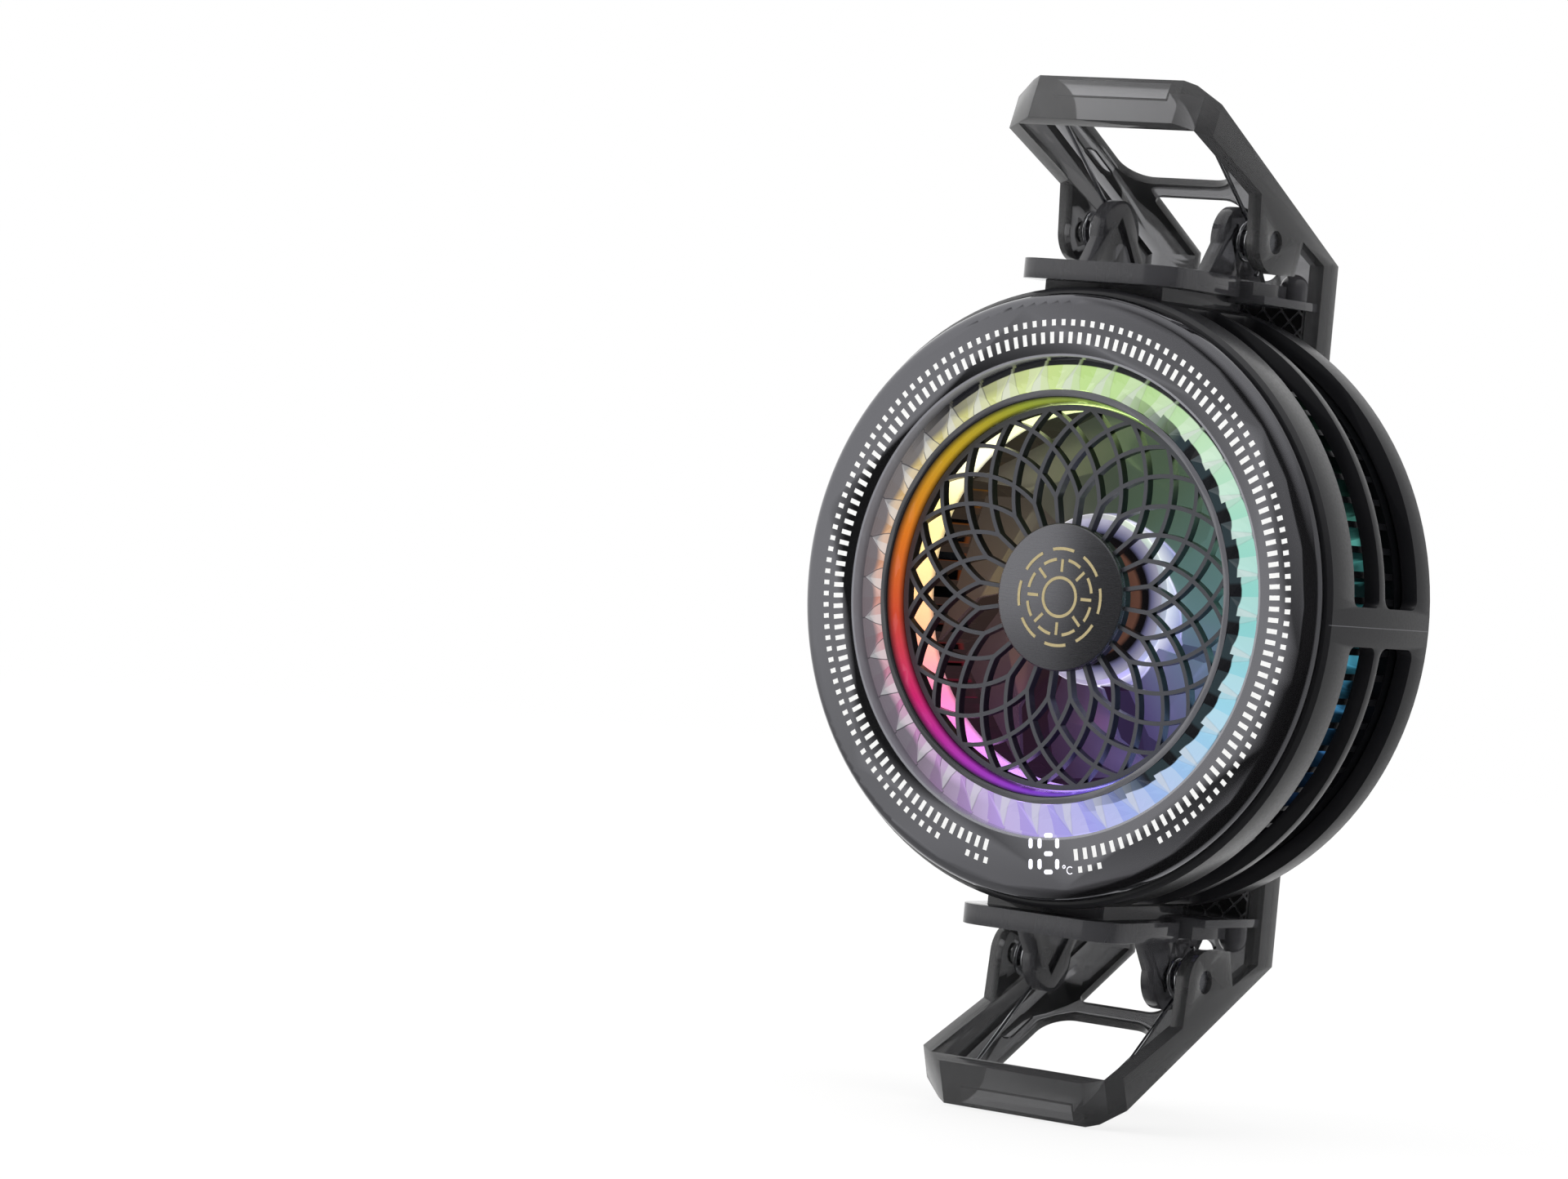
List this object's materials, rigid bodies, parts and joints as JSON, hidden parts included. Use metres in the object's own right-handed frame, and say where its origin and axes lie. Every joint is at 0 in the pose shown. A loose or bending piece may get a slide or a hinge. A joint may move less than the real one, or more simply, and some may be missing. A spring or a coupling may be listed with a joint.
{
  "type": "phone cooling fan",
  "caption": "Round clip-on phone cooler with a lit prism ring, a woven front grille over a fan, a slotted side wall and a sprung smoke-grey clamp above and below.",
  "frame": {"origin": "centre of the cold plate's outer face, where it lies on the phone's back", "axes": "+Y out of the cold plate into the phone, +Z towards the upper clamp, +X to the right as seen from the lit front"},
  "size_m": [0.0736, 0.0359, 0.1232],
  "materials": {
    "bezel_gloss": "mirror dark grey",
    "readout_face": "satin",
    "clear_prism": "clear",
    "lit_collar": "translucent, lit",
    "grille_grey": "satin",
    "hub_cap_dark": "brushed dark grey",
    "diffuser_white": "translucent, lit",
    "board_black": "satin",
    "lamp_white": "gloss",
    "inner_black": "matte",
    "shell_dark": "satin",
    "inlet_steel": "bright",
    "sink_black": "black anodised",
    "motor_grey": "matte",
    "motor_board_green": "satin",
    "bearing_bronze": "satin",
    "stator_steel": "satin",
    "coil_copper": "gloss",
    "rotor_smoke": "smoke translucent",
    "shaft_steel": "bright",
    "magnet_dark": "dull",
    "ceramic_white": "matte",
    "pellet_grey": "dull",
    "foam_black": "matte",
    "cold_plate_aluminium": "satin",
    "screw_black": "black",
    "clamp_smoke": "smoke translucent",
    "pin_steel": "bright",
    "spring_steel": "bright",
    "pad_rubber": "matte"
  },
  "bodies": {
    "head": {"front_bezel": "bezel_gloss", "readout": "readout_face", "prism_ring": "clear_prism", "glow_ring": "lit_collar", "front_grille": "grille_grey", "hub_cap": "hub_cap_dark", "light_guide": "diffuser_white", "lamp_board": "board_black", "lamps": "lamp_white", "inner_frame": "inner_black", "side_shell": "shell_dark", "charging_inlet": "inlet_steel", "heat_sink": "sink_black", "motor_base": "motor_grey", "motor_board": "motor_board_green", "motor_bearing": "bearing_bronze", "motor_stator": "stator_steel", "motor_coils": "coil_copper", "pump_hot_ceramic": "ceramic_white", "pump_pellets": "pellet_grey", "pump_cold_ceramic": "ceramic_white", "foam_gasket": "foam_black", "cold_plate": "cold_plate_aluminium", "rear_cover": "shell_dark", "rear_screws": "screw_black", "upper_clamp_base": "clamp_smoke", "upper_base_screws": "screw_black", "upper_pivot_pins": "pin_steel", "upper_spring_right": "spring_steel", "upper_spring_left": "spring_steel", "lower_clamp_base": "clamp_smoke", "lower_base_screws": "screw_black", "lower_pivot_pins": "pin_steel", "lower_spring_right": "spring_steel", "lower_spring_left": "spring_steel"},
    "fan": {"fan_rotor": "rotor_smoke", "rotor_shaft": "shaft_steel", "rotor_magnet": "magnet_dark"},
    "upper_clamp": {"upper_lever": "clamp_smoke", "upper_jaw_pad": "pad_rubber"},
    "lower_clamp": {"lower_lever": "clamp_smoke", "lower_jaw_pad": "pad_rubber"}
  },
  "joints": [
    {"name": "fan_spin", "type": "hinge", "parent": "head", "child": "fan", "pos_m": [0, -0.0145, 0], "axis": [0, 1, 0], "continuous": true},
    {"name": "upper_clamp_swing", "type": "hinge", "parent": "head", "child": "upper_clamp", "pos_m": [0, -0.00724, 0.04435], "axis": [1, 0, 0], "range_deg": [0, 30], "stiffness_Nm_per_rad": 0.12, "springref_deg": -57.3, "deforming": ["upper_spring_right", "upper_spring_left"]},
    {"name": "lower_clamp_swing", "type": "hinge", "parent": "head", "child": "lower_clamp", "pos_m": [0, -0.00724, -0.04435], "axis": [-1, 0, 0], "range_deg": [0, 30], "stiffness_Nm_per_rad": 0.12, "springref_deg": -57.3, "deforming": ["lower_spring_right", "lower_spring_left"]}
  ]
}
